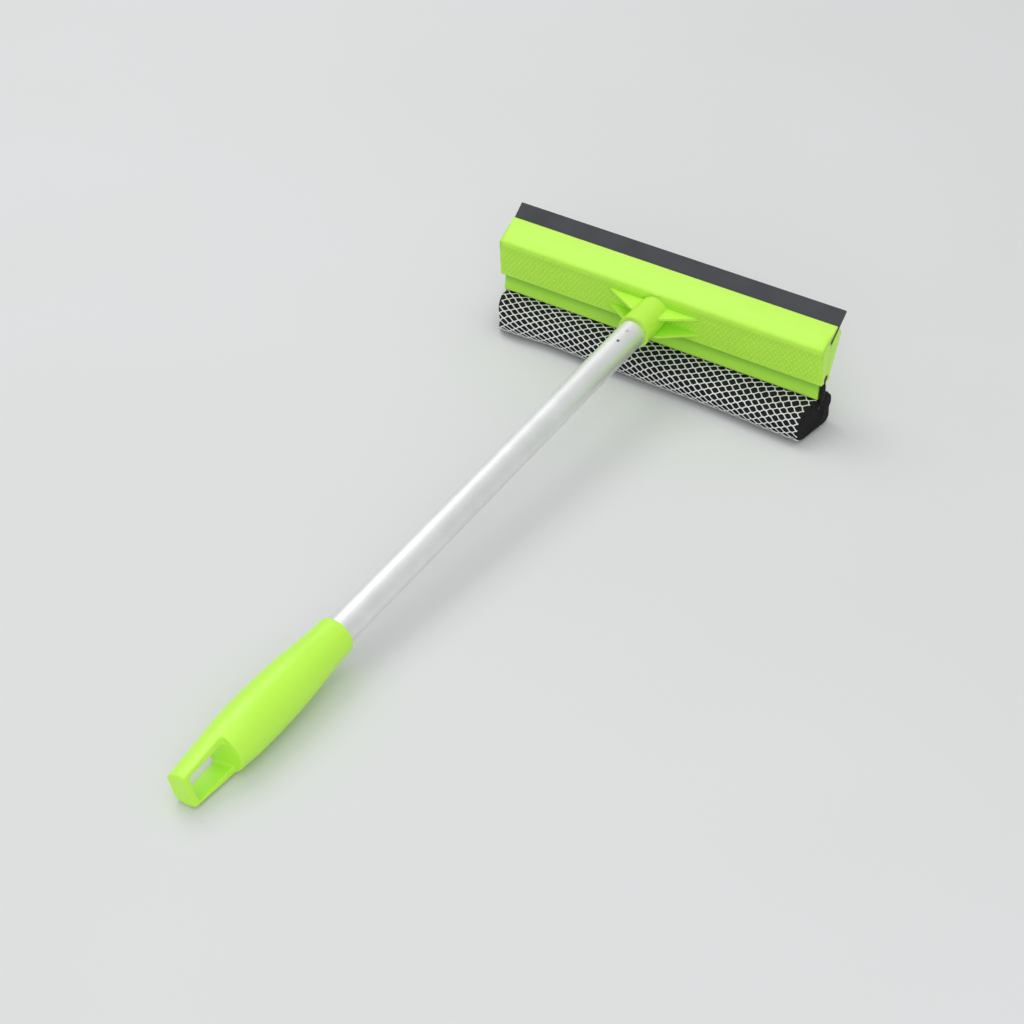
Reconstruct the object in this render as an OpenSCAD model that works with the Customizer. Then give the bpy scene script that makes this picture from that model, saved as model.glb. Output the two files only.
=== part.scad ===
// Window scrubber: round tube handle with a hang-loop grip, a moulded head with
// a rubber wiping blade on top and a netted sponge pad below.
// Units are millimetres. X runs along the head, +Y from grip to blade, Z is up.

/* [Head] */
// Width of the head and of the rubber blade
head_w = 250; // [200:5:350]
// Wall thickness of the two head mouldings
wall = 2.3; // [1.6:0.1:3]
// Thickness of the end walls that close the hollow head
end_wall = 2.4; // [1.6:0.1:4]
// Height of the ridge between the upper panel and the grained panel
ridge_z = 63.8; // [58:0.2:68]
// Height of the lower edge of the lip
lip_z = 24.2; // [20:0.1:28]
// How far each end of the lip is drawn back
lip_in = 2.4; // [0:0.1:5]

/* [Blade] */
// Thickness of the rubber blade
blade_t = 2.5; // [1.5:0.1:3.5]
// Width of the rubber blade from tip to bead centre
blade_h = 22.5; // [18:0.5:34]
// Diameter of the bead along the root of the blade
blade_bead = 3.3; // [2.6:0.1:6]
// Angle of the blade above the horizontal
blade_a = 39; // [30:1:45]
// Clearance round the blade in its slot
blade_gap = 0.35; // [0.3:0.05:0.6]

/* [Pad] */
// Length of the foam
foam_w = 249; // [200:1:350]
// Thickness of the net sleeve
net_t = 0.6; // [0.4:0.1:1]
// Diameter of the bead of the retaining strip
bead_d = 5.2; // [4.4:0.1:5.6]
// Thickness of the neck of the retaining strip
neck_t = 2.7; // [2:0.1:3]
// Width of the strip's foot inside the foam
foot_w = 14; // [8:1:20]

/* [Handle] */
// Outside diameter of the tube
tube_d = 19; // [16:0.5:25]
// Wall thickness of the tube
tube_t = 0.9; // [0.7:0.1:1.5]
// Slope of the handle below the horizontal when it lies on the floor
slope = 4.67; // [0:0.01:15]
// Outside radius of the tube socket at its mouth
boss_r = 11.5; // [11:0.1:14]

/* [Grip] */
// Largest radius of the grip
grip_r = 15.9; // [14:0.1:17]
// Length of the grip with its hang loop
grip_l = 135.9; // [120:0.1:160]
// Distance from the handle axis to the near flat of the hang loop
loop_a = 5.3; // [4:0.1:8]
// Distance from the handle axis to the far flat of the hang loop
loop_b = 8.8; // [4:0.1:10]
// Turn of the hang loop about the handle axis
loop_roll = 12.2; // [0:0.1:45]
// Length of the opening in the hang loop
hole_l = 28.6; // [20:0.1:34]
// Height of the opening in the hang loop
hole_h = 17.6; // [10:0.1:18]
// How far the middle of the opening lies below the handle axis
hole_drop = 0.5; // [0:0.1:1]

/* [Hidden] */
$fn = 72;
// shift that puts the middle of the part's length at Y = 0
ys = 232.4;
// corners of the head section, as [y, z]
pt = [14, 74.15];
pr = [-4.1, ridge_z];
pp = [-2.55, 37];
pn = [20.4, 66.9];
pj = [8.9, 39.8];
// centre of the keyhole channel
kc = [4.1, 39];
kr = bead_d / 2 + 0.4;
mouth = neck_t + 1.0;
// blade tip and the direction from root to tip
tip = [24.1, 81];
bd = [cos(blade_a), sin(blade_a)];
bn = [sin(blade_a), -cos(blade_a)];
bmid = tip + bn * blade_t / 2;
root = bmid - bd * blade_h;
// height of the handle axis at y = -25
za = 49.73;
bore_r = tube_d / 2 + 0.05;
tube_y0 = -6.5;
tube_y1 = -438;
mouth_y = -31.6;
grip_y = -354;

green = [0.55, 0.85, 0.22];
dark = [0.16, 0.16, 0.17];

// ---- helpers -------------------------------------------------------------

// places children on the handle axis at depth y, local +Z pointing to the grip
module on_axis(y) {
    translate([0, ys + y, za + (y + 25) * tan(slope)])
        rotate([90 + slope, 0, 0]) children();
}

// length along the handle axis between two depths
function run(a, b) = (a - b) / cos(slope);

// a [y, z] section drawn out along X, w long and centred
module along_x(w) {
    translate([-w / 2, ys, 0]) rotate([90, 0, 90]) linear_extrude(height = w) children();
}

// a disc of radius r in the section plane
module dot2(p, r) { translate(p) circle(r = r); }

// ---- head section ----------------------------------------------------------

module head_outline() {
    polygon([
        pt, pr, pp, [-0.1, 36.6], [-1.6, lip_z + 0.9], [-0.8, lip_z], [kc[0] - mouth / 2 - 0.6, lip_z],
        [kc[0] - mouth / 2, lip_z + 0.6], [kc[0] - mouth / 2, 37], [kc[0] + mouth / 2, 37],
        [kc[0] + mouth / 2, 36.4], [8.3, 36.4], [8.7, 37.4], pj, pn
    ]);
}

module slot_section() {
    h = blade_t / 2 + blade_gap;
    a = root;
    b = bmid + bd * 6;
    polygon([a + bn * h, b + bn * h, b - bn * h, a - bn * h]);
    dot2(root, blade_bead / 2 + blade_gap);
}

module channel_section() {
    dot2(kc, kr);
    translate([kc[0] - mouth / 2, 20]) square([mouth, kc[1] - 20]);
}

module hollow_section() {
    polygon([[pr[0] + wall + 0.5, 59], [pp[0] + wall + 0.5, 44.4], [pj[0] - wall + 1.9, 44.4],
             [pn[0] - wall - 0.3, 64.6], [pn[0] - wall - 2.2, 66.2],
             [root[0] + 4.2, root[1] - 1.6], [root[0] + 1.2, root[1] - 4.6], [root[0] - 2.4, root[1] - 4.4]]);
}

// everything in front of the joint between the two mouldings
module front_region() {
    polygon([[-60, 10], [kc[0], 10], kc, [kc[0], 45], [root[0] + 0.9, 56],
             root, bmid + bd * 20, [-60, 110]]);
}

module head_section() {
    difference() {
        head_outline();
        slot_section();
        channel_section();
    }
}

peg_x = [-102, -56, 56, 102];
peg_z = 51;

// ---- head mouldings ----------------------------------------------------------

// gusset rib between the grained panel and the tube socket
module rib(side, z0, ym) {
    dz = z0 - (za + 22 * tan(slope));
    tx = side < 0 ? -36.4 : 33.5;
    on_axis(-3) translate([0, dz - 0.9, 0]) rotate([-90, 0, 0])
        linear_extrude(height = 1.8)
            polygon([[side * 6, 1.4], [tx, 1.4], [tx, -0.6], [side * 10.6, -run(-3, ym)],
                     [side * 6, -run(-3, ym)]]);
}

module front_shell() {
    color(green) difference() {
        union() {
            difference() {
                union() {
                    difference() {
                        along_x(head_w) intersection() { head_section(); front_region(); }
                        along_x(head_w - 2 * end_wall) hollow_section();
                        // the lip stops short of the ends
                        for (k = [-1, 1]) translate([k * (head_w / 2 - lip_in + 5), ys, 28]) cube([10, 20, 17.2], center = true);
                    }
                    // sockets for the pegs of the rear moulding
                    for (x = peg_x) translate([x, ys - 2.4, peg_z]) rotate([-90, 0, 0]) cylinder(d = 7.4, h = 6.4);
                    // tube socket
                    on_axis(mouth_y) rotate([180, 0, 0]) cylinder(r1 = boss_r, r2 = boss_r - 0.8, h = run(-2.6, mouth_y));
                    for (s = [-1, 1]) {
                        rib(s, s < 0 ? 56.7 : 55.7, -16.5);
                        rib(s, s < 0 ? 44 : 43, -19);
                    }
                }
                // bore for the tube
                on_axis(mouth_y - 1.3) rotate([180, 0, 0]) cylinder(r = bore_r, h = run(tube_y0 + 0.4, mouth_y - 1.3));
                for (x = peg_x) translate([x, ys - 0.6, peg_z]) rotate([-90, 0, 0]) cylinder(d = 4.2, h = 8);
            }
            // spigot that stands in the tube
            on_axis(-58) rotate([180, 0, 0]) cylinder(r = tube_d / 2 - tube_t - 0.1, h = run(-2.7, -58));
        }
        // bore of the spigot
        on_axis(-59) rotate([180, 0, 0]) cylinder(r = 5.6, h = 48);
    }
}

module rear_shell() {
    color(green) difference() {
        union() {
            difference() {
                along_x(head_w) difference() { head_section(); front_region(); }
                along_x(head_w - 2 * end_wall) hollow_section();
            }
            for (x = peg_x) translate([x, ys - 0.2, peg_z]) rotate([-90, 0, 0]) cylinder(d = 4, h = 12.6);
            for (x = peg_x) translate([x, ys + 5, peg_z]) rotate([-90, 0, 0]) cylinder(d = 7.4, h = 7.2);
        }
    }
}

module rubber_blade() {
    color(dark) along_x(head_w) {
        h = blade_t / 2;
        c = 0.25;
        polygon([root + bn * h, bmid + bn * h - bd * c, bmid + bn * (h - c), bmid - bn * (h - c), bmid - bn * h - bd * c, root - bn * h]);
        dot2(root, blade_bead / 2);
    }
}

// ---- pad ---------------------------------------------------------------------

module foam_outline(o) {
    hull() {
        dot2([-10.8, 10.6], 10 - net_t + o);
        dot2([6.4, 10], 10 - net_t + o);
        dot2([-4.5, 17.6], 6 - net_t + o);
        dot2([10.5, 18.2], 6 - net_t + o);
        dot2([-9.5, 7], 7 - net_t + o);
    }
}

module strip_section(o) {
    translate([kc[0] - neck_t / 2 - o, 19.4 - o]) square([neck_t + 2 * o, kc[1] - 19.4 + o]);
    translate([kc[0] - foot_w / 2 - o, 18.2 - o]) square([foot_w + 2 * o, 1.6 + 2 * o]);
}

module foam_pad() {
    color(dark) along_x(foam_w) difference() {
        foam_outline(0);
        strip_section(0.05);
    }
}

module net_sleeve() {
    color([0.86, 0.87, 0.88]) along_x(foam_w + 1) difference() {
        foam_outline(net_t);
        foam_outline(0.05);
        translate([kc[0] - neck_t / 2 - 0.05, 20]) square([neck_t + 0.1, 6]);
    }
}

module retaining_strip() {
    color(dark) along_x(foam_w) {
        strip_section(0);
        dot2(kc, bead_d / 2);
    }
}

// ---- handle ------------------------------------------------------------------

module handle_tube() {
    color([0.75, 0.76, 0.78]) difference() {
        on_axis(tube_y1) rotate([180, 0, 0]) cylinder(d = tube_d, h = run(tube_y0, tube_y1));
        on_axis(tube_y1 - 1) rotate([180, 0, 0]) cylinder(d = tube_d - 2 * tube_t, h = run(tube_y0, tube_y1) + 3);
        // two punched marks beside the socket
        for (y = [-42.6, -54.4]) on_axis(y) rotate([0, 0, -14]) translate([0, tube_d / 2 + 0.75, 0]) sphere(r = 1.3, $fn = 36);
    }
}

// outline of the grip as [distance from its mouth, radius]
st = [[0, 11.4], [1.2, 12.2], [18, 13], [41, 15], [62, grip_r], [86, 15.8], [98, 14.9], [106, 14.2],
      [126.5, 12.4], [134.6, 11.7], [grip_l, 10.6]];

module grip_outline() {
    rotate_extrude() polygon(concat([[0, 0]], [for (p = st) [p[1], p[0]]], [[0, grip_l]]));
}

module loop_opening() {
    r = 2.4;
    x = hole_h / 2 - r;
    s0 = grip_l - 3.9 - hole_l;
    rotate([0, 0, loop_roll]) rotate([0, 90, 0]) translate([0, 0, -30]) linear_extrude(height = 60)
        translate([-s0 - hole_l + r, 0]) offset(r = r) translate([0, -x - hole_drop]) square([hole_l - 2 * r, 2 * x]);
}

module grip() {
    s1 = 103.4;
    color(green) on_axis(grip_y) difference() {
        grip_outline();
        // flats that leave the hang loop
        rotate([0, 0, loop_roll]) translate([loop_a + 20, 0, s1 + 20]) cube([40, 60, 40], center = true);
        rotate([0, 0, loop_roll]) translate([-loop_b - 20, 0, s1 + 20]) cube([40, 60, 40], center = true);
        loop_opening();
        translate([0, 0, -1]) cylinder(r = bore_r, h = run(grip_y, tube_y1) + 1.4);
    }
}

front_shell();
rear_shell();
rubber_blade();
foam_pad();
net_sleeve();
retaining_strip();
handle_tube();
grip();
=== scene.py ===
import bpy, bmesh, math
import numpy as np
from mathutils import Matrix, Vector


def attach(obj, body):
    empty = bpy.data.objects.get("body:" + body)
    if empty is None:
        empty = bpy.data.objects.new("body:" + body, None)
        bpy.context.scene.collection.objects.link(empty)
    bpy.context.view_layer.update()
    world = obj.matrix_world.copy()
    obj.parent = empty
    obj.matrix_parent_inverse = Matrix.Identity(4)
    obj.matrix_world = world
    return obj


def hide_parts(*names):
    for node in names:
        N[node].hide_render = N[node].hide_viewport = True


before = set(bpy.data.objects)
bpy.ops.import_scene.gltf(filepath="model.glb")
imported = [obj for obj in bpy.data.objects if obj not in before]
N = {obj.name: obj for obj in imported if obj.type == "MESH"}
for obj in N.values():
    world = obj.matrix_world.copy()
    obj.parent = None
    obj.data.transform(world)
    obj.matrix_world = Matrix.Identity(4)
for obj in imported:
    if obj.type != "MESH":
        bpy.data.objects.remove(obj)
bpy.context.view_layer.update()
YS = 0.2324          # shift of the head section's zero along Y, as in the CAD
SL = math.radians(4.67)
ZA = 0.04973
SC = bpy.context.scene


# ---------------------------------------------------------------- materials

def new_mat(name):
    m = bpy.data.materials.new(name)
    m.use_nodes = True
    nt = m.node_tree
    bsdf = next(n for n in nt.nodes if n.type == "BSDF_PRINCIPLED")
    return m, nt, bsdf


def node(nt, kind, **sockets):
    n = nt.nodes.new(kind)
    for k, v in sockets.items():
        key = k.replace("_", " ")
        if key in n.inputs:
            n.inputs[key].default_value = v
        else:
            setattr(n, k, v)
    return n


def obj_coords(nt):
    return nt.nodes.new("ShaderNodeTexCoord").outputs["Object"]


def ramp(nt, fac, stops):
    r = nt.nodes.new("ShaderNodeValToRGB")
    el = r.color_ramp.elements
    el[0].position, el[0].color = stops[0][0], (*stops[0][1], 1)
    el[1].position, el[1].color = stops[-1][0], (*stops[-1][1], 1)
    for p, c in stops[1:-1]:
        e = el.new(p)
        e.color = (*c, 1)
    nt.links.new(fac, r.inputs["Fac"])
    return r.outputs["Color"]


def rng(nt, fac, lo, hi, a=0.3, b=0.7):
    m = nt.nodes.new("ShaderNodeMapRange")
    m.inputs["From Min"].default_value = a
    m.inputs["From Max"].default_value = b
    m.inputs["To Min"].default_value = lo
    m.inputs["To Max"].default_value = hi
    nt.links.new(fac, m.inputs["Value"])
    return m.outputs["Result"]


def green_plastic(name, edge=0.0005, rough=(0.3, 0.42), shade=1.0):
    m, nt, b = new_mat(name)
    co = obj_coords(nt)
    big = node(nt, "ShaderNodeTexNoise", Scale=14.0, Detail=3.0, Roughness=0.5)
    fine = node(nt, "ShaderNodeTexNoise", Scale=900.0, Detail=2.0, Roughness=0.6)
    flow = node(nt, "ShaderNodeTexNoise", Scale=60.0, Detail=4.0, Roughness=0.6)
    for n in (big, fine, flow):
        nt.links.new(co, n.inputs["Vector"])
    c = ramp(nt, big.outputs["Fac"], [(0.3, (0.50 * shade, 0.93 * shade, 0.060)), (0.7, (0.54 * shade, 0.96 * shade, 0.075))])
    if edge > 0.0005:
        # painted shade: the recess under the edge of the front panel is darkened as if shaded by the overhang, more so
        # at its top
        s2 = nt.nodes.new("ShaderNodeSeparateXYZ")
        nt.links.new(co, s2.inputs[0])
        lip = nt.nodes.new("ShaderNodeMath")
        lip.operation = "MULTIPLY"
        up = ramp(nt, rng(nt, s2.outputs["Z"], 0, 1, 0.024, 0.038), [(0.0, (0.18, 0.18, 0.18)), (0.45, (0.40, 0.40, 0.40)), (0.84, (1, 1, 1)), (0.90, (0, 0, 0))])
        nt.links.new(up, lip.inputs[0])
        nt.links.new(rng(nt, s2.outputs["Y"], 1, 0, YS + 0.0020, YS + 0.0030), lip.inputs[1])
        lip_shade_mix = nt.nodes.new("ShaderNodeMix")
        lip_shade_mix.data_type = "RGBA"
        lip_shade_mix.blend_type = "MULTIPLY"
        nt.links.new(lip.outputs[0], lip_shade_mix.inputs[0])
        nt.links.new(c, lip_shade_mix.inputs[6])
        lip_shade_mix.inputs[7].default_value = (0.40, 0.56, 0.40, 1)
        c = lip_shade_mix.outputs[2]
        # painted shade in the grooves between the grains of the front panel: the panel surface between the grains is
        # darkened
        line = nt.nodes.new("ShaderNodeMath")
        line.operation = "MULTIPLY_ADD"
        nt.links.new(s2.outputs["Z"], line.inputs[0])
        line.inputs[1].default_value = 0.05784
        nt.links.new(s2.outputs["Y"], line.inputs[2])
        off = nt.nodes.new("ShaderNodeMath")
        off.operation = "SUBTRACT"
        nt.links.new(line.outputs[0], off.inputs[0])
        off.inputs[1].default_value = YS - 0.00041
        dist = nt.nodes.new("ShaderNodeMath")
        dist.operation = "ABSOLUTE"
        nt.links.new(off.outputs[0], dist.inputs[0])
        onp = rng(nt, dist.outputs[0], 1, 0, 0.00008, 0.00016)
        zlo = rng(nt, s2.outputs["Z"], 0, 1, 0.0382, 0.0390)
        zhi = rng(nt, s2.outputs["Z"], 1, 0, 0.0605, 0.0615)
        m1 = nt.nodes.new("ShaderNodeMath")
        m1.operation = "MULTIPLY"
        nt.links.new(zlo, m1.inputs[0])
        nt.links.new(zhi, m1.inputs[1])
        m2 = nt.nodes.new("ShaderNodeMath")
        m2.operation = "MULTIPLY"
        nt.links.new(m1.outputs[0], m2.inputs[0])
        nt.links.new(onp, m2.inputs[1])
        groove_shade_mix = nt.nodes.new("ShaderNodeMix")
        groove_shade_mix.data_type = "RGBA"
        groove_shade_mix.blend_type = "MULTIPLY"
        nt.links.new(m2.outputs[0], groove_shade_mix.inputs[0])
        nt.links.new(c, groove_shade_mix.inputs[6])
        groove_shade_mix.inputs[7].default_value = (0.86, 0.94, 0.76, 1)
        c = groove_shade_mix.outputs[2]
    nt.links.new(c, b.inputs["Base Color"])
    nt.links.new(rng(nt, flow.outputs["Fac"], *rough), b.inputs["Roughness"])
    b.inputs["Subsurface Weight"].default_value = 0.22
    b.inputs["Subsurface Radius"].default_value = (0.5, 1.0, 0.1)
    b.inputs["Subsurface Scale"].default_value = 0.004
    b.inputs["IOR"].default_value = 1.49
    bev = nt.nodes.new("ShaderNodeBevel")
    bev.samples = 4
    bev.inputs["Radius"].default_value = edge
    if edge > 0.0005:
        # the ridge between the two panels is rounder than the other edges
        sep = nt.nodes.new("ShaderNodeSeparateXYZ")
        nt.links.new(co, sep.inputs[0])
        below = rng(nt, sep.outputs["Z"], 0, 1, 0.0560, 0.0600)
        front = rng(nt, sep.outputs["Y"], 1, 0, YS + 0.004, YS + 0.009)
        both = nt.nodes.new("ShaderNodeMath")
        both.operation = "MULTIPLY"
        nt.links.new(below, both.inputs[0])
        nt.links.new(front, both.inputs[1])
        nt.links.new(rng(nt, both.outputs[0], edge, 0.0050, 0, 1), bev.inputs["Radius"])
    bump = node(nt, "ShaderNodeBump", Strength=0.06, Distance=0.0002)
    nt.links.new(fine.outputs["Fac"], bump.inputs["Height"])
    nt.links.new(bev.outputs["Normal"], bump.inputs["Normal"])
    nt.links.new(bump.outputs["Normal"], b.inputs["Normal"])
    return m


def rubber(name):
    m, nt, b = new_mat(name)
    co = obj_coords(nt)
    n1 = node(nt, "ShaderNodeTexNoise", Scale=35.0, Detail=5.0, Roughness=0.6)
    n2 = node(nt, "ShaderNodeTexNoise", Scale=700.0, Detail=2.0, Roughness=0.5)
    sp = node(nt, "ShaderNodeTexVoronoi", Scale=150.0)
    for n in (n1, n2, sp):
        nt.links.new(co, n.inputs["Vector"])
    base = ramp(nt, n1.outputs["Fac"], [(0.3, (0.022, 0.025, 0.031)), (0.7, (0.046, 0.050, 0.058))])
    dust = ramp(nt, sp.outputs["Distance"], [(0.045, (1, 1, 1)), (0.075, (0, 0, 0))])
    few = node(nt, "ShaderNodeTexNoise", Scale=40.0, Detail=1.0)
    nt.links.new(co, few.inputs["Vector"])
    gate = rng(nt, few.outputs["Fac"], 0, 1, 0.56, 0.60)
    mul = nt.nodes.new("ShaderNodeMath")
    mul.operation = "MULTIPLY"
    nt.links.new(dust, mul.inputs[0])
    nt.links.new(gate, mul.inputs[1])
    mix = nt.nodes.new("ShaderNodeMix")
    mix.data_type = "RGBA"
    nt.links.new(mul.outputs[0], mix.inputs[0])
    nt.links.new(base, mix.inputs[6])
    mix.inputs[7].default_value = (0.22, 0.21, 0.20, 1)
    nt.links.new(mix.outputs[2], b.inputs["Base Color"])
    nt.links.new(rng(nt, n1.outputs["Fac"], 0.5, 0.66), b.inputs["Roughness"])
    bump = node(nt, "ShaderNodeBump", Strength=0.12, Distance=0.0003)
    nt.links.new(n2.outputs["Fac"], bump.inputs["Height"])
    nt.links.new(bump.outputs["Normal"], b.inputs["Normal"])
    return m


def foam(name):
    m, nt, b = new_mat(name)
    co = obj_coords(nt)
    v = node(nt, "ShaderNodeTexVoronoi", Scale=900.0)
    n1 = node(nt, "ShaderNodeTexNoise", Scale=260.0, Detail=4.0, Roughness=0.7)
    for n in (v, n1):
        nt.links.new(co, n.inputs["Vector"])
    c = ramp(nt, n1.outputs["Fac"], [(0.3, (0.006, 0.006, 0.006)), (0.7, (0.018, 0.018, 0.017))])
    nt.links.new(c, b.inputs["Base Color"])
    b.inputs["Roughness"].default_value = 0.92
    b.inputs["Specular IOR Level"].default_value = 0.25
    add = nt.nodes.new("ShaderNodeMath")
    nt.links.new(v.outputs["Distance"], add.inputs[0])
    nt.links.new(n1.outputs["Fac"], add.inputs[1])
    bump = node(nt, "ShaderNodeBump", Strength=0.8, Distance=0.0006)
    nt.links.new(add.outputs[0], bump.inputs["Height"])
    nt.links.new(bump.outputs["Normal"], b.inputs["Normal"])
    return m


def net_mat(name):
    m, nt, b = new_mat(name)
    co = obj_coords(nt)
    n1 = node(nt, "ShaderNodeTexNoise", Scale=120.0, Detail=3.0, Roughness=0.6)
    w = node(nt, "ShaderNodeTexNoise", Scale=2200.0, Detail=2.0, Roughness=0.6)
    for n in (n1, w):
        nt.links.new(co, n.inputs["Vector"])
    c = ramp(nt, n1.outputs["Fac"], [(0.3, (0.70, 0.71, 0.72)), (0.7, (0.84, 0.84, 0.84))])
    nt.links.new(c, b.inputs["Base Color"])
    nt.links.new(rng(nt, n1.outputs["Fac"], 0.45, 0.7), b.inputs["Roughness"])
    bump = node(nt, "ShaderNodeBump", Strength=0.5, Distance=0.0002)
    nt.links.new(w.outputs["Fac"], bump.inputs["Height"])
    nt.links.new(bump.outputs["Normal"], b.inputs["Normal"])
    return m


def black_plastic(name):
    m, nt, b = new_mat(name)
    co = obj_coords(nt)
    n1 = node(nt, "ShaderNodeTexNoise", Scale=300.0, Detail=4.0, Roughness=0.6)
    nt.links.new(co, n1.inputs["Vector"])
    c = ramp(nt, n1.outputs["Fac"], [(0.3, (0.010, 0.010, 0.010)), (0.7, (0.022, 0.022, 0.022))])
    nt.links.new(c, b.inputs["Base Color"])
    nt.links.new(rng(nt, n1.outputs["Fac"], 0.5, 0.7), b.inputs["Roughness"])
    bump = node(nt, "ShaderNodeBump", Strength=0.3, Distance=0.0003)
    nt.links.new(n1.outputs["Fac"], bump.inputs["Height"])
    nt.links.new(bump.outputs["Normal"], b.inputs["Normal"])
    return m


def aluminium(name):
    m, nt, b = new_mat(name)
    co = obj_coords(nt)
    # drawing lines run along the handle, so the noise is stretched along it
    rot = node(nt, "ShaderNodeMapping")
    rot.inputs["Rotation"].default_value = (-SL, 0, 0)
    rot.inputs["Scale"].default_value = (1.0, 0.012, 1.0)
    nt.links.new(co, rot.inputs["Vector"])
    lines = node(nt, "ShaderNodeTexNoise", Scale=2600.0, Detail=3.0, Roughness=0.6)
    nt.links.new(rot.outputs["Vector"], lines.inputs["Vector"])
    cloud = node(nt, "ShaderNodeTexNoise", Scale=45.0, Detail=4.0, Roughness=0.6)
    nt.links.new(co, cloud.inputs["Vector"])
    c = ramp(nt, cloud.outputs["Fac"], [(0.3, (0.80, 0.81, 0.80)), (0.7, (0.87, 0.88, 0.87))])
    # the two punched marks beside the socket are painted dark
    dark = None
    for my in (-0.0426, -0.0544):
        d = nt.nodes.new("ShaderNodeVectorMath")
        d.operation = "DISTANCE"
        zz = ZA + (my + 0.025) * math.tan(SL)
        d.inputs[1].default_value = (0.0023, YS + my, zz + 0.0092)
        nt.links.new(co, d.inputs[0])
        k = rng(nt, d.outputs["Value"], 1 if my < -0.05 else 0.45, 0, 0.0007, 0.0012)
        if dark is None:
            dark = k
        else:
            mx = nt.nodes.new("ShaderNodeMath")
            mx.operation = "MAXIMUM"
            nt.links.new(dark, mx.inputs[0])
            nt.links.new(k, mx.inputs[1])
            dark = mx.outputs[0]
    mixd = nt.nodes.new("ShaderNodeMix")
    mixd.data_type = "RGBA"
    nt.links.new(dark, mixd.inputs[0])
    nt.links.new(c, mixd.inputs[6])
    mixd.inputs[7].default_value = (0.10, 0.11, 0.13, 1)
    nt.links.new(mixd.outputs[2], b.inputs["Base Color"])
    b.inputs["Metallic"].default_value = 0.85
    nt.links.new(rng(nt, lines.outputs["Fac"], 0.40, 0.52), b.inputs["Roughness"])
    bump = node(nt, "ShaderNodeBump", Strength=0.10, Distance=0.0001)
    nt.links.new(lines.outputs["Fac"], bump.inputs["Height"])
    nt.links.new(bump.outputs["Normal"], b.inputs["Normal"])
    return m


GREEN = green_plastic("lime_plastic", edge=0.0010)
GRIP = green_plastic("lime_plastic_grip", edge=0.0002)
RUBBER = rubber("blade_rubber")
FOAM = foam("black_foam")
NET = net_mat("white_netting")
STRIP = black_plastic("strip_plastic")
ALU = aluminium("drawn_aluminium")


def paint(o, mat):
    o.data.materials.clear()
    o.data.materials.append(mat)


def paint_cad(o, mat):
    if not o.material_slots:
        o.data.materials.append(mat)
    for s in o.material_slots:
        s.material = mat


paint_cad(N["front_shell"], GREEN)
paint_cad(N["rear_shell"], GREEN)
paint_cad(N["rubber_blade"], RUBBER)
paint_cad(N["retaining_strip"], STRIP)
paint_cad(N["handle_tube"], ALU)
paint_cad(N["foam_pad"], FOAM)
paint_cad(N["net_sleeve"], NET)
paint_cad(N["grip"], GRIP)


# ---------------------------------------------------------------- mesh helpers

def mesh_obj(name, verts, faces, mat, smooth=True):
    me = bpy.data.meshes.new(name)
    me.from_pydata([tuple(map(float, v)) for v in verts], [], [tuple(int(i) for i in f) for f in faces])
    me.validate()
    me.update()
    o = bpy.data.objects.new(name, me)
    SC.collection.objects.link(o)
    paint(o, mat)
    me.polygons.foreach_set("use_smooth", [smooth] * len(me.polygons))
    return o


def apply_mods(o):
    dg = bpy.context.evaluated_depsgraph_get()
    dg.update()
    me = bpy.data.meshes.new_from_object(o.evaluated_get(dg))
    old = o.data
    o.modifiers.clear()
    o.data = me
    bpy.data.meshes.remove(old)


def catmull(pts, n):
    p = np.array([pts[0]] + list(pts) + [pts[-1]], float)
    out = []
    for i in range(1, len(p) - 2):
        for t in np.linspace(0, 1, n, endpoint=False):
            a, b, c, d = p[i - 1], p[i], p[i + 1], p[i + 2]
            out.append(0.5 * ((2 * b) + (-a + c) * t + (2 * a - 5 * b + 4 * c - d) * t * t + (-a + 3 * b - 3 * c + d) * t ** 3))
    out.append(p[-2])
    return np.array(out)


# handle axis: local X = world X, local Y = up across the axis, local Z = towards the grip
def axis_matrix(y):
    zz = ZA + (y + 0.025) * math.tan(SL)
    return Matrix.Translation((0, YS + y, zz)) @ Matrix.Rotation(math.pi / 2 + SL, 4, "X")


# ---------------------------------------------------------------- pad section

CIRC = [(-10.8, 10.6, 10.0), (6.4, 10.0, 10.0), (-4.5, 17.6, 6.0), (10.5, 18.2, 6.0), (-9.5, 7.0, 7.0)]


def pad_section(inset, n):
    """Closed section of the pad, in metres, as n points by arc length, starting under the pad and going round by the front."""
    th = np.linspace(-math.pi / 2, -math.pi / 2 - 2 * math.pi, 4001)[:-1]
    nx, nz = np.cos(th), np.sin(th)
    c = np.array(CIRC)
    h = c[:, 0:1] * nx + c[:, 1:2] * nz + (c[:, 2:3] - inset)
    k = np.argmax(h, axis=0)
    p = np.stack([c[k, 0] + (c[k, 2] - inset) * nx, c[k, 1] + (c[k, 2] - inset) * nz], 1)
    q = np.vstack([p, p[:1]])
    s = np.r_[0, np.cumsum(np.linalg.norm(np.diff(q, axis=0), axis=1))]
    t = np.linspace(0, s[-1], n + 1)[:-1]
    r = np.stack([np.interp(t, s, q[:, 0]), np.interp(t, s, q[:, 1])], 1)
    return r / 1000.0, s[-1] / 1000.0


def end_x(y, z, side):
    """Where the pad ends: its front edge is drawn back from the end of the head, and its rear edge is out."""
    if side > 0:
        f = np.clip((y * 1000 + 22) / 34.0, 0, 1)
        f = f * f * (3 - 2 * f)
        return 0.1217 + 0.0040 * f + 0.0004 * np.sin(z * 420)
    f = np.clip((y * 1000 + 23) / 22.0, 0, 1)
    f = math.sin(f * math.pi / 2)
    return -(0.1122 + 0.0114 * f + 0.0004 * np.sin(z * 380 + 1))


def bow(x, y):
    """The front of the pad isn't straight: it swells towards the ends."""
    sx = np.interp(x * 1000, [-125, -100, -75, -43, 13, 62, 92, 114, 125], [-2.0, -1.7, 0.2, -0.8, -1.5, -2.0, -3.8, -4.6, -4.6])
    w = np.clip((2.0 - y * 1000) / 16.0, 0, 1)
    w = w * w * (3 - 2 * w)
    return 0.001 * sx * w


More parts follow.
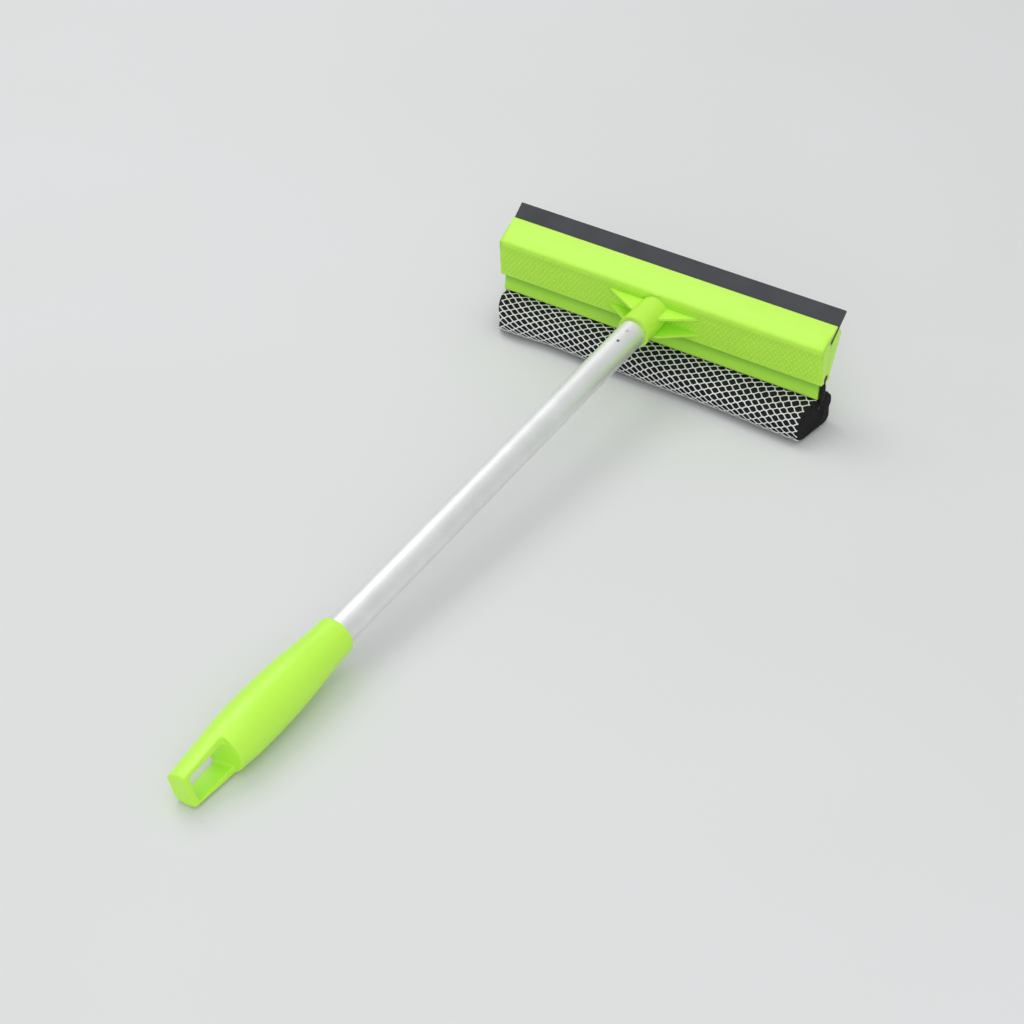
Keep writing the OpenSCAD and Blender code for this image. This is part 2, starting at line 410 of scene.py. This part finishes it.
def build_foam():
    n = 120
    sec, per = pad_section(0.75, n)
    cen = np.array([0.0, 0.0105])
    verts, faces = [], []
    us = [0.0, 0.004, 0.010, 0.018, 0.03] + list(np.linspace(0.05, 0.95, 46)) + [0.97, 0.982, 0.990, 0.996, 1.0]
    for u in us:
        d = min(u, 1 - u) * 0.25       # distance from the end
        r = 0.0028
        k = 1.0 if d > r else math.sqrt(max(0.0, 1 - (1 - d / r) ** 2))
        shrink = 0.0028 * (1 - k)
        for j, (y, z) in enumerate(sec):
            v = np.array([y, z]) - cen
            L = np.linalg.norm(v)
            v = v * (1 - shrink / L) + cen
            x0, x1 = end_x(y, z, -1), end_x(y, z, 1)
            x = x0 + (x1 - x0) * u
            wob = 0.00018 * math.sin(x * 190 + z * 60) + 0.00012 * math.sin(x * 77 + y * 130 + 1.3)
            zz = v[1] + (wob if v[1] > 0.006 else 0)
            verts.append((x, YS + v[0] + bow(x, v[0]) + wob, max(zz, 0.0006)))
    m = len(us)
    for i in range(m - 1):
        for j in range(n):
            k = (j + 1) % n
            faces.append((i * n + j, (i + 1) * n + j, (i + 1) * n + k, i * n + k))
    # end faces: rings that close to a slightly dished middle
    for side, base in ((-1, 0), (1, (m - 1) * n)):
        prev = list(range(base, base + n))
        for q in (0.85, 0.6, 0.3):
            ring = []
            for j in range(n):
                b = np.array(verts[base + j])
                mid = np.array([b[0], YS + cen[0], cen[1]])
                p = mid + (b - mid) * q
                p[0] = b[0] * q + (1 - q) * (0.1256 if side > 0 else -0.1251)
                p[0] += side * 0.0002 * math.sin(j * 0.9 + q * 20)
                ring.append(len(verts))
                verts.append(tuple(p))
            for j in range(n):
                k = (j + 1) % n
                f = (prev[j], prev[k], ring[k], ring[j])
                faces.append(f if side < 0 else f[::-1])
            prev = ring
        mid = len(verts)
        verts.append((0.1256 if side > 0 else -0.1251, YS + cen[0], cen[1]))
        for j in range(n):
            k = (j + 1) % n
            f = (prev[j], prev[k], mid)
            faces.append(f if side < 0 else f[::-1])
    # the foam is drawn up round the end of the strip, beyond the end of the lip
    b, na, nb = len(verts), 16, 24
    for i in range(na + 1):
        la = math.pi * i / na
        for j in range(nb):
            lo = 2 * math.pi * j / nb
            cx, cy, cz = math.sin(la) * math.cos(lo), math.sin(la) * math.sin(lo), math.cos(la)
            k = (abs(cx) ** 3.2 + abs(cy) ** 3.2 + abs(cz) ** 3.2) ** (-1 / 3.2)
            verts.append((0.12415 + 0.00125 * cx * k, YS + 0.0024 + 0.0031 * cy * k, 0.0286 + 0.0073 * cz * k))
    for i in range(na):
        for j in range(nb):
            k = (j + 1) % nb
            faces.append((b + i * nb + j, b + (i + 1) * nb + j, b + (i + 1) * nb + k, b + i * nb + k))
    o = mesh_obj("foam_body", verts, faces, FOAM)
    bm = bmesh.new()
    bm.from_mesh(o.data)
    bmesh.ops.remove_doubles(bm, verts=bm.verts, dist=1e-7)
    bmesh.ops.recalc_face_normals(bm, faces=bm.faces)
    bm.to_mesh(o.data)
    bm.free()
    return o


# ---------------------------------------------------------------- net sleeve

def build_net():
    sec, per = pad_section(0.42, 1200)
    secn = np.vstack([sec, sec[:1]])
    ss = np.linspace(0, per, 1201)
    CW, CH = 0.0084, per / round(per / 0.0051)
    rows = int(round(per / CH)) * 2
    s_front = float(ss[int(np.argmin(secn[:, 0]))])

    def place(x, s, lift=0.0):
        # the netting is pulled askew and a little together on the front, more at the left than at the right
        turn = math.sin(2 * math.pi * (s - s_front) / per) * per / (2 * math.pi)
        s, x = s - turn * np.interp(x, [-0.09, 0.07], [0.12, 0.09]), x - turn * np.interp(x, [-0.12, -0.05, 0.03, 0.12], [0.40, 0.36, 0.16, 0.10])
        # slow waves, as on netting that was pulled on by hand
        s = s + 0.0011 * math.sin(x * 26 + 0.6) + 0.0006 * math.sin(x * 61 + s * 40)
        xx = x + 0.0013 * math.sin(s * 95 + x * 9) + 0.0005 * math.sin(s * 260 + x * 40)
        s = s % per
        y, z = np.interp(s, ss, secn[:, 0]), np.interp(s, ss, secn[:, 1])
        i = int(s / per * 1200) % 1200
        t = secn[(i + 2) % 1200] - secn[i - 2]
        t = t / np.linalg.norm(t)
        nrm = np.array([t[1], -t[0]])
        if np.dot(nrm, [y, z - 0.0105]) < 0:
            nrm = -nrm
        return np.array([xx, YS + y + bow(xx, y) + nrm[0] * lift, z + nrm[1] * lift]), np.array([0, nrm[0], nrm[1]])

    verts, faces = [], []
    SIDES = 6

    def strand(pts, nrms, rads, flat=0.62):
        base = len(verts)
        P = np.array(pts)
        T = np.gradient(P, axis=0)
        for p, t, nr, r in zip(P, T, nrms, rads):
            t = t / np.linalg.norm(t)
            b = np.cross(t, nr)
            b = b / np.linalg.norm(b)
            for k in range(SIDES):
                a = 2 * math.pi * k / SIDES
                v = p + b * (math.cos(a) * r) + nr * (math.sin(a) * r * flat)
                v[2] = max(v[2], 0.0001)
                verts.append(v)
        m = len(P)
        for i in range(m - 1):
            for k in range(SIDES):
                kk = (k + 1) % SIDES
                faces.append((base + i * SIDES + k, base + i * SIDES + kk, base + (i + 1) * SIDES + kk, base + (i + 1) * SIDES + k))
        faces.append(tuple(base + k for k in range(SIDES))[::-1])
        faces.append(tuple(base + (m - 1) * SIDES + k for k in range(SIDES)))

    slit = (0.0041 - 0.0022, 0.0041 + 0.0022)

    def open_here(p):
        return p[2] > 0.018 and slit[0] < p[1] - YS < slit[1]

    # a strand follows one row of crossings as a zigzag and meets the next row's strand at each crossing
    cols = int(0.276 / CW) + 2
    rnd = np.random.RandomState(7)
    for r in range(rows):
        s_mid = (r + 0.5) * CH / 2
        sgn = 1 if r % 2 == 0 else -1
        for c in range(-1, 2 * cols):
            xa = -0.138 + c * CW / 2
            xb = xa + CW / 2
            up = sgn * (1 if c % 2 == 0 else -1)
            sa, sb = s_mid - up * CH / 4, s_mid + up * CH / 4
            k = 7
            fl = np.interp(xa, [-0.1, 0.1], [0.08, 0.15])
            pts, nrms, rads = [], [], []
            for i in range(k):
                t = i / (k - 1)
                # flat at the crossings, so the holes come out six-sided and round
                e = np.clip((t - fl) / (1 - 2 * fl), 0, 1)
                e = e * e * (3 - 2 * e) * 0.3 + e * 0.7
                x, s = xa + (xb - xa) * t, sa + (sb - sa) * e
                p, nr = place(x, s)
                pts.append(p)
                nrms.append(nr)
                rads.append(0.00040 + 0.00022 * (abs(2 * t - 1) ** 3))
            if any(open_here(p) for p in pts):
                continue
            q = pts[3]
            cut = 0.0002 + 0.0012 * rnd.rand() + (0.003 if q[1] - YS > 0.004 else 0.0)
            lo, hi = end_x(q[1] - YS, q[2], -1) + 0.0008, end_x(q[1] - YS, q[2], 1) - cut
            if min(p[0] for p in pts) < lo - 0.0024 or max(p[0] for p in pts) > hi + 0.0010:
                continue
            strand(pts, nrms, rads)
    o = mesh_obj("net_mesh", verts, faces, NET)
    return o, per


foam_o = build_foam()
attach(foam_o, "pad")
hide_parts("foam_pad")

net_o, PER = build_net()
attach(net_o, "pad")
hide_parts("net_sleeve")


# ---------------------------------------------------------------- grip

def build_grip():
    st = [(0, 11.4), (1.2, 12.2), (18, 13), (41, 15), (62, 15.9), (86, 15.8), (98, 14.9), (106, 14.2), (126.5, 12.4), (134.6, 11.7), (135.9, 10.6)]
    body = catmull(st[1:10], 10)
    prof = [(0.0, 9.6), (0.05, 10.9), (0.35, 11.7), (0.8, 12.05)] + [tuple(p) for p in body] + [(135.4, 11.35), (135.8, 10.8), (135.95, 9.5), (135.6, 5.0), (135.5, 0.01)]
    prof = [(0.0, 9.6)] + prof[1:]
    n = 160
    verts, faces = [], []
    for s, r in prof:
        for j in range(n):
            a = 2 * math.pi * j / n
            verts.append((r * math.cos(a) / 1000, r * math.sin(a) / 1000, s / 1000))
    m = len(prof)
    for i in range(m - 1):
        for j in range(n):
            k = (j + 1) % n
            faces.append((i * n + j, i * n + k, (i + 1) * n + k, (i + 1) * n + j))
    faces.append(tuple(range(n))[::-1])
    faces.append(tuple((m - 1) * n + j for j in range(n)))
    o = mesh_obj("grip_shell", verts, faces, GRIP)

    def cutter(name, pts, z0, z1, mtx):
        v = [(x, y, z0) for x, y in pts] + [(x, y, z1) for x, y in pts]
        q = len(pts)
        f = [tuple(range(q))[::-1], tuple(range(q, 2 * q))]
        f += [(i, (i + 1) % q, q + (i + 1) % q, q + i) for i in range(q)]
        c = mesh_obj(name, v, f, GRIP, smooth=False)
        c.data.transform(mtx)
        bm = bmesh.new()
        bm.from_mesh(c.data)
        bmesh.ops.recalc_face_normals(bm, faces=bm.faces)
        bm.to_mesh(c.data)
        bm.free()
        return c

    roll = Matrix.Rotation(math.radians(12.2), 4, "Z")
    cuts = []
    # flats: an outline in (local x, local z), run through along local y
    for k in (-1, 1):
        t = 5.3 if k > 0 else 8.8
        pts = [(k * t, 104.5), (k * (t + 0.25), 103.8), (k * (t + 0.9), 103.4), (k * 30, 103.4), (k * 30, 140), (k * t, 140)]
        pts = [(a / 1000, b / 1000) for a, b in pts]
        # (x, z) plane to local: outline y becomes z, extrusion becomes y
        mtx = roll @ Matrix(((1, 0, 0, 0), (0, 0, 1, 0), (0, 1, 0, 0), (0, 0, 0, 1)))
        cuts.append(cutter("cut_flat_%d" % (k + 1), pts, -0.03, 0.03, mtx))
    # opening: a rounded rectangle in (local y, local z), run through along local x
    s0, s1, h, r, dy = 103.4, 132.0, 8.8, 2.4, -0.5
    pts = []
    for cx, cy, a0 in ((h - r, s1 - r, 0), (-(h - r), s1 - r, 90), (-(h - r), s0 + r, 180), (h - r, s0 + r, 270)):
        for q in range(9):
            a = math.radians(a0 + q * 90 / 8)
            pts.append(((cx + dy + r * math.cos(a)) / 1000, (cy + r * math.sin(a)) / 1000))
    mtx = roll @ Matrix(((0, 0, 1, 0), (1, 0, 0, 0), (0, 1, 0, 0), (0, 0, 0, 1)))
    cuts.append(cutter("cut_loop", pts, -0.03, 0.03, mtx))
    # bore for the tube
    ring = [(0.00955 * math.cos(2 * math.pi * j / 128), 0.00955 * math.sin(2 * math.pi * j / 128)) for j in range(128)]
    cuts.append(cutter("cut_bore", ring, -0.005, 0.0845, Matrix.Identity(4)))
    bm = bmesh.new()
    bm.from_mesh(o.data)
    bmesh.ops.recalc_face_normals(bm, faces=bm.faces)
    bm.to_mesh(o.data)
    bm.free()
    for c in cuts:
        b = o.modifiers.new("b", "BOOLEAN")
        b.object = c
        b.operation = "DIFFERENCE"
        b.solver = "EXACT"
    apply_mods(o)
    for c in cuts:
        me = c.data
        bpy.data.objects.remove(c)
        bpy.data.meshes.remove(me)
    vox = 0.0004
    rm = o.modifiers.new("r", "REMESH")
    rm.mode = "VOXEL"
    rm.voxel_size = vox
    apply_mods(o)
    sm = o.modifiers.new("s", "SMOOTH")
    sm.factor = 0.5
    sm.iterations = 6
    apply_mods(o)
    o.data.transform(axis_matrix(-0.354))
    co = np.empty(len(o.data.vertices) * 3)
    o.data.vertices.foreach_get("co", co)
    co[2::3] = np.maximum(co[2::3], 0.00002)
    o.data.vertices.foreach_set("co", co)
    o.data.update()
    paint(o, GRIP)
    o.data.polygons.foreach_set("use_smooth", [True] * len(o.data.polygons))
    return o


grip_o = build_grip()
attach(grip_o, "frame")
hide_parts("grip")


# ---------------------------------------------------------------- grained panel

def build_grain():
    r, p = np.array([-4.1, 63.8]), np.array([-2.55, 37.0])
    d = (p - r) / np.linalg.norm(p - r)
    out = np.array([-d[1] * -1, d[0] * -1])
    if out[0] > 0:
        out = -out
    L = np.linalg.norm(p - r)
    verts, faces = [], []
    px, ps = 3.5, 2.35
    row = 0
    s = 3.4
    while s < L - 1.6:
        x = -122.9 + (px / 2 if row % 2 else 0)
        while x < 123.0:
            c = r + d * s
            z = c[1]
            # bare patch under the tube socket and the ribs
            dx = abs(x)
            near_boss = (dx * dx + (z - 51.3) ** 2) < 11.6 ** 2
            near_rib = dx < 35 and (abs(z - 55.7) < 1.7 or abs(z - 43) < 1.7)
            if not (near_boss or near_rib):
                b = len(verts)
                a, q, h = 1.42, 1.92, 0.28
                for ux, us, uh in ((-a, 0, -0.06), (0, -q, -0.06), (a, 0, -0.06), (0, q, -0.06), (-a * .42, 0, h), (0, -q * .42, h), (a * .42, 0, h), (0, q * .42, h)):
                    w = c + d * us + out * uh
                    verts.append(((x + ux) / 1000, YS + w[0] / 1000, w[1] / 1000))
                for i in range(4):
                    j = (i + 1) % 4
                    faces.append((b + i, b + j, b + 4 + j, b + 4 + i))
                faces.append((b + 4, b + 5, b + 6, b + 7))
            x += px
        s += ps
        row += 1
    o = mesh_obj("panel_grain", verts, faces, GREEN, smooth=False)
    bm = bmesh.new()
    bm.from_mesh(o.data)
    bmesh.ops.recalc_face_normals(bm, faces=bm.faces)
    bm.to_mesh(o.data)
    bm.free()
    return o


grain_o = build_grain()
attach(grain_o, "frame")


# ---------------------------------------------------------------- floor, light, camera

fm, fnt, fb = new_mat("floor_grey")
fco = obj_coords(fnt)
fn = node(fnt, "ShaderNodeTexNoise", Scale=3.0, Detail=2.0)
fnt.links.new(fco, fn.inputs["Vector"])
fnt.links.new(ramp(fnt, fn.outputs["Fac"], [(0.3, (0.70, 0.705, 0.70)), (0.7, (0.715, 0.72, 0.72))]), fb.inputs["Base Color"])
fb.inputs["Roughness"].default_value = 0.9
fb.inputs["Specular IOR Level"].default_value = 0.1
floor = mesh_obj("floor", [(-6, -6, 0), (6, -6, 0), (6, 6, 0), (-6, 6, 0)], [(0, 1, 2, 3)], fm, smooth=False)

w = bpy.data.worlds.new("studio")
SC.world = w
w.use_nodes = True
bg = next(n for n in w.node_tree.nodes if n.type == "BACKGROUND")
bg.inputs["Color"].default_value = (0.97, 0.985, 1.0, 1)
bg.inputs["Strength"].default_value = 0.643


def area(name, loc, target, size, power, color=(1, 1, 1)):
    L = bpy.data.lights.new(name, "AREA")
    L.shape = "RECTANGLE"
    L.size, L.size_y = size
    L.energy = power
    L.color = color
    o = bpy.data.objects.new(name, L)
    SC.collection.objects.link(o)
    o.location = loc
    d = Vector(target) - Vector(loc)
    o.rotation_euler = d.to_track_quat("-Z", "Y").to_euler()
    return o


area("key", (-1.15, 0.5, 1.9), (0, 0, 0), (1.2, 1.2), 12.4)
area("top", (0.1, -0.2, 2.4), (0, 0, 0), (2.0, 2.0), 8.9)
area("fill", (0.9, -1.5, 1.0), (0, 0.1, 0), (1.4, 1.4), 8.5)

cam_d = bpy.data.cameras.new("cam")
cam = bpy.data.objects.new("cam", cam_d)
SC.collection.objects.link(cam)
cam_d.sensor_width = 36.0
cam_d.lens = 36.0 * 2107.12 / 1024
cam_d.clip_start = 0.05
cam_d.clip_end = 50
cam_d.dof.use_dof = False
R = Vector((0.83049483, 0.55700376, -0.00501441))
U = Vector((-0.34330716, 0.51891998, 0.78285519))
V = Vector((-0.43865537, 0.64843571, -0.62218374))
M = Matrix((R, U, -V)).transposed().to_4x4()
M.translation = Vector((0.5848876, -1.0402277 + YS, 0.8228364))
cam.matrix_world = M
SC.camera = cam
SC.view_settings.view_transform = "Standard"
SC.view_settings.look = "None"
SC.view_settings.exposure = 0.0
